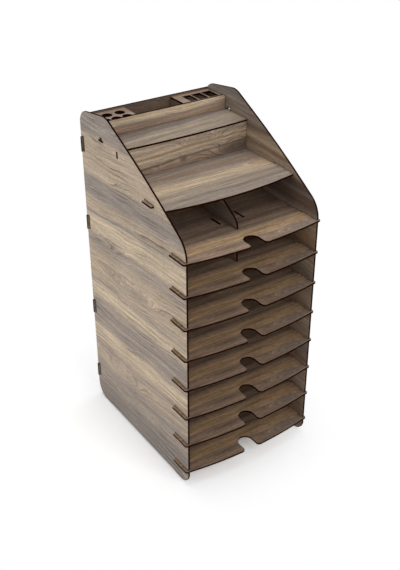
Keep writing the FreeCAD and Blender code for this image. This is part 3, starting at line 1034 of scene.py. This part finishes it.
class ORGANIZER_OT_pen_box(BoardOperator):
    """Pen box: its front strip, two dividers, pen plate and slotted plate"""
    bl_idname = "organizer.pen_box"
    bl_label = "Pen box"

    def execute(self, context):
        sizes = context.scene.organizer_box
        self.front_strip(sizes)
        self.box_dividers()
        self.pen_plate(sizes)
        self.slotted_plate(sizes)
        return {"FINISHED"}

    def front_strip(self, sizes):
        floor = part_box("display_shelf")[1].z
        strip = add_block("strip", (strip_low.x, strip_low.y, floor), strip_high)
        spots = [(strip_low.x, strip_high.z), (strip_high.x, strip_high.z)]
        round_edges(strip, 1, spots, sizes.strip_corner)
        add_tabs(strip, foot_blocks(strip_low.z, floor + OVERRUN))
        cut_blocks(strip, box_divider_slots(strip_low.y, strip_high.y))
        finish_board(strip, 1, strip_veneer())
        place_piece(strip, "box_front_board")

    def box_dividers(self):
        low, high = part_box("box_divider_left")
        divider = add_block("divider", (low.x, strip_high.y, low.z), (high.x, back_face, high.z))
        level, top = box_tab_levels(low, high)
        tabs = [((low.x, low.y, level), (high.x, strip_high.y + OVERRUN, top)),
                ((low.x, back_face - OVERRUN, level), (high.x, high.y, top))]
        add_tabs(divider, tabs)
        finish_board(divider, 0, divider_veneer())
        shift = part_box("box_divider_right")[0].x - low.x
        other = duplicate(divider, "other", (shift, 0, 0))
        place_piece(divider, "box_divider_left")
        place_piece(other, "box_divider_right")

    def plate(self, node):
        """Plain plate of the pen box with its rear tab."""
        low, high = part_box(node)
        board = add_block(node, (low.x, low.y, low.z), (high.x, back_face, high.z))
        add_tabs(board, rear_tabs([(low.x + high.x) / 2], low.z, high.z))
        return board, low, high

    def pen_plate(self, sizes):
        board, low, high = self.plate("pen_plate")
        rows = ((sizes.front_inset, sizes.front_pitch, sizes.front_row, 3),
                (sizes.back_inset, sizes.back_pitch, sizes.back_row, 2))
        holes = []
        for inset, pitch, row, count in rows:
            for i in range(count):
                holes.append(add_rod("hole", low.x + inset + pitch * i, low.y + row,
                                     sizes.pen_hole / 2, low.z - OVERRUN, high.z + OVERRUN,
                                     HOLE_SIDES))
        combine(board, holes, "DIFFERENCE")
        finish_board(board, 2, plate_veneer())
        place_piece(board, "pen_plate")

    def slotted_plate(self, sizes):
        board, low, high = self.plate("slotted_plate")
        openings = []
        x = low.x + sizes.opening_inset
        for width in sizes.opening_widths:
            start = low.y + sizes.opening_rim
            end = back_face - sizes.opening_rim
            opening = add_block("opening", (x, start, low.z - OVERRUN),
                                (x + width, end, high.z + OVERRUN))
            spots = [(x, start), (x + width, start), (x, end), (x + width, end)]
            round_edges(opening, 2, spots, sizes.opening_corner)
            openings.append(opening)
            x += width + sizes.opening_bar
        combine(board, openings, "DIFFERENCE")
        finish_board(board, 2, plate_veneer())
        place_piece(board, "slotted_plate")


# Stage

def white_for_camera(graph, lighting, seen):
    """Mixes what lights the object with what the camera, mirrors and glass see."""
    rays = graph.add("ShaderNodeLightPath").outputs
    share = graph.math("MAXIMUM", rays["Is Camera Ray"], rays["Is Glossy Ray"])
    share = graph.math("MAXIMUM", share, rays["Is Transmission Ray"])
    return graph.add("ShaderNodeMixShader", {0: share, 1: lighting, 2: seen}).outputs[0]


class ORGANIZER_OT_stage(BoardOperator):
    """White floor, soft studio light and the camera"""
    bl_idname = "organizer.stage"
    bl_label = "Stage"

    def execute(self, context):
        sizes = context.scene.organizer_stage
        self.add_floor(sizes)
        self.light_world(context, sizes)
        for name, strength, size, place in (
                ("side_lamp", sizes.side_lamp, 1.0, (-2.2, 0.45, 0.30)),
                ("top_lamp", sizes.top_lamp, 1.2, (0, 0.15, 2.6)),
                ("front_lamp", sizes.front_lamp, 1.4, (0.3, -2.0, 1.6)),
                ("low_lamp", sizes.low_lamp, 1.0, (0.2, -2.3, 0.30)),
                ("right_lamp", sizes.rim_lamp, 1.4, (2.2, 0.5, 0.6)),
                ("rear_lamp", sizes.rim_lamp, 1.4, (-0.4, 2.3, 0.8))):
            self.add_lamp(name, strength, size, place)
        self.add_camera(context, sizes)
        context.scene.view_settings.view_transform = "Standard"
        return {"FINISHED"}

    def add_floor(self, sizes):
        bpy.ops.object.select_all(action="DESELECT")
        bpy.ops.mesh.primitive_plane_add(size=sizes.floor_size)
        floor = bpy.context.object
        floor.name = "floor"
        graph = Graph(bpy.data.materials.new("white_floor"))
        place = graph.add("ShaderNodeTexCoord").outputs["Object"]
        offset = graph.add("ShaderNodeVectorMath", {0: place, 1: tuple(sizes.shadow_centre)},
                           operation="SUBTRACT").outputs["Vector"]
        away = graph.add("ShaderNodeVectorMath", {0: offset}, operation="LENGTH").outputs["Value"]
        matt = graph.add("ShaderNodeBsdfDiffuse", {"Color": (0.9, 0.9, 0.9, 1.0)}).outputs[0]
        seen = graph.add("ShaderNodeBsdfDiffuse", {"Color": (*sizes.floor_seen, 1.0)}).outputs[0]
        glow = graph.add("ShaderNodeEmission", {"Strength": sizes.floor_glow}).outputs[0]
        plain = graph.add("ShaderNodeEmission", {"Strength": 1.0}).outputs[0]
        near = graph.add("ShaderNodeAddShader", {0: seen, 1: glow}).outputs[0]
        far = graph.remap(away, sizes.shadow_core, sizes.shadow_reach, 0.0, 1.0)
        bright = graph.add("ShaderNodeMixShader", {0: far, 1: near, 2: plain}).outputs[0]
        surface = white_for_camera(graph, matt, bright)
        graph.add("ShaderNodeOutputMaterial", {"Surface": surface})
        floor.data.materials.append(graph.owner)

    def light_world(self, context, sizes):
        graph = Graph(bpy.data.worlds.new("studio"))
        light = graph.add("ShaderNodeBackground", {"Strength": sizes.sky}).outputs[0]
        white = graph.add("ShaderNodeBackground", {"Strength": 1.0}).outputs[0]
        for node in graph.tree.nodes:
            node.inputs["Color"].default_value = (1.0, 1.0, 1.0, 1.0)
        surface = white_for_camera(graph, light, white)
        graph.add("ShaderNodeOutputWorld", {"Surface": surface})
        context.scene.world = graph.owner

    def add_lamp(self, name, strength, size, place):
        bpy.ops.object.select_all(action="DESELECT")
        bpy.ops.object.light_add(type="AREA", location=place)
        lamp = bpy.context.object
        lamp.name = name
        lamp.data.energy = strength
        lamp.data.size = size
        aim = Vector((0, 0, AIM_HEIGHT)) - Vector(place)
        lamp.rotation_euler = aim.to_track_quat("-Z", "Y").to_euler()

    def add_camera(self, context, sizes):
        bpy.ops.object.select_all(action="DESELECT")
        bpy.ops.object.camera_add(location=sizes.camera_place)
        camera = bpy.context.object
        turn = Euler((0, 0, sizes.camera_azimuth)).to_matrix()
        tilt = Euler((math.pi / 2 - sizes.camera_elevation, 0, 0)).to_matrix()
        roll = Euler((0, 0, sizes.camera_roll)).to_matrix()
        camera.rotation_euler = (turn @ tilt @ roll).to_euler()
        camera.data.sensor_fit = "AUTO"
        camera.data.sensor_width = 36
        camera.data.lens = sizes.lens
        camera.data.clip_start = 0.05
        camera.data.clip_end = 50
        context.scene.camera = camera


class ORGANIZER_PT_panel(bpy.types.Panel):
    """Lists the organizer's operators"""
    bl_idname = "ORGANIZER_PT_panel"
    bl_label = "Desktop file organizer"
    bl_space_type = "VIEW_3D"
    bl_region_type = "UI"
    bl_category = "Organizer"

    def draw(self, context):
        for operator in operators:
            self.layout.operator(operator.bl_idname)


groups = {
    "organizer_sides": OrganizerSides,
    "organizer_joints": OrganizerJoints,
    "organizer_shelves": OrganizerShelves,
    "organizer_dividers": OrganizerDividers,
    "organizer_box": OrganizerPenBox,
    "organizer_finish": OrganizerFinish,
    "organizer_stage": OrganizerStage,
}

operators = (
    ORGANIZER_OT_side_panels,
    ORGANIZER_OT_back_panel,
    ORGANIZER_OT_trays,
    ORGANIZER_OT_dividers,
    ORGANIZER_OT_display_shelf,
    ORGANIZER_OT_riser_board,
    ORGANIZER_OT_top_shelf,
    ORGANIZER_OT_pen_box,
    ORGANIZER_OT_stage,
)


def register():
    for name, group in groups.items():
        bpy.utils.register_class(group)
        setattr(bpy.types.Scene, name, bpy.props.PointerProperty(type=group))
    for operator in operators:
        bpy.utils.register_class(operator)
    bpy.utils.register_class(ORGANIZER_PT_panel)


def unregister():
    bpy.utils.unregister_class(ORGANIZER_PT_panel)
    for operator in reversed(operators):
        bpy.utils.unregister_class(operator)
    for name, group in groups.items():
        delattr(bpy.types.Scene, name)
        bpy.utils.unregister_class(group)


def main():
    register()
    bpy.ops.organizer.side_panels()
    bpy.ops.organizer.back_panel()
    bpy.ops.organizer.trays()
    bpy.ops.organizer.dividers()
    bpy.ops.organizer.display_shelf()
    bpy.ops.organizer.riser_board()
    bpy.ops.organizer.top_shelf()
    bpy.ops.organizer.pen_box()
    bpy.ops.organizer.stage()


if __name__ == "__main__":
    main()
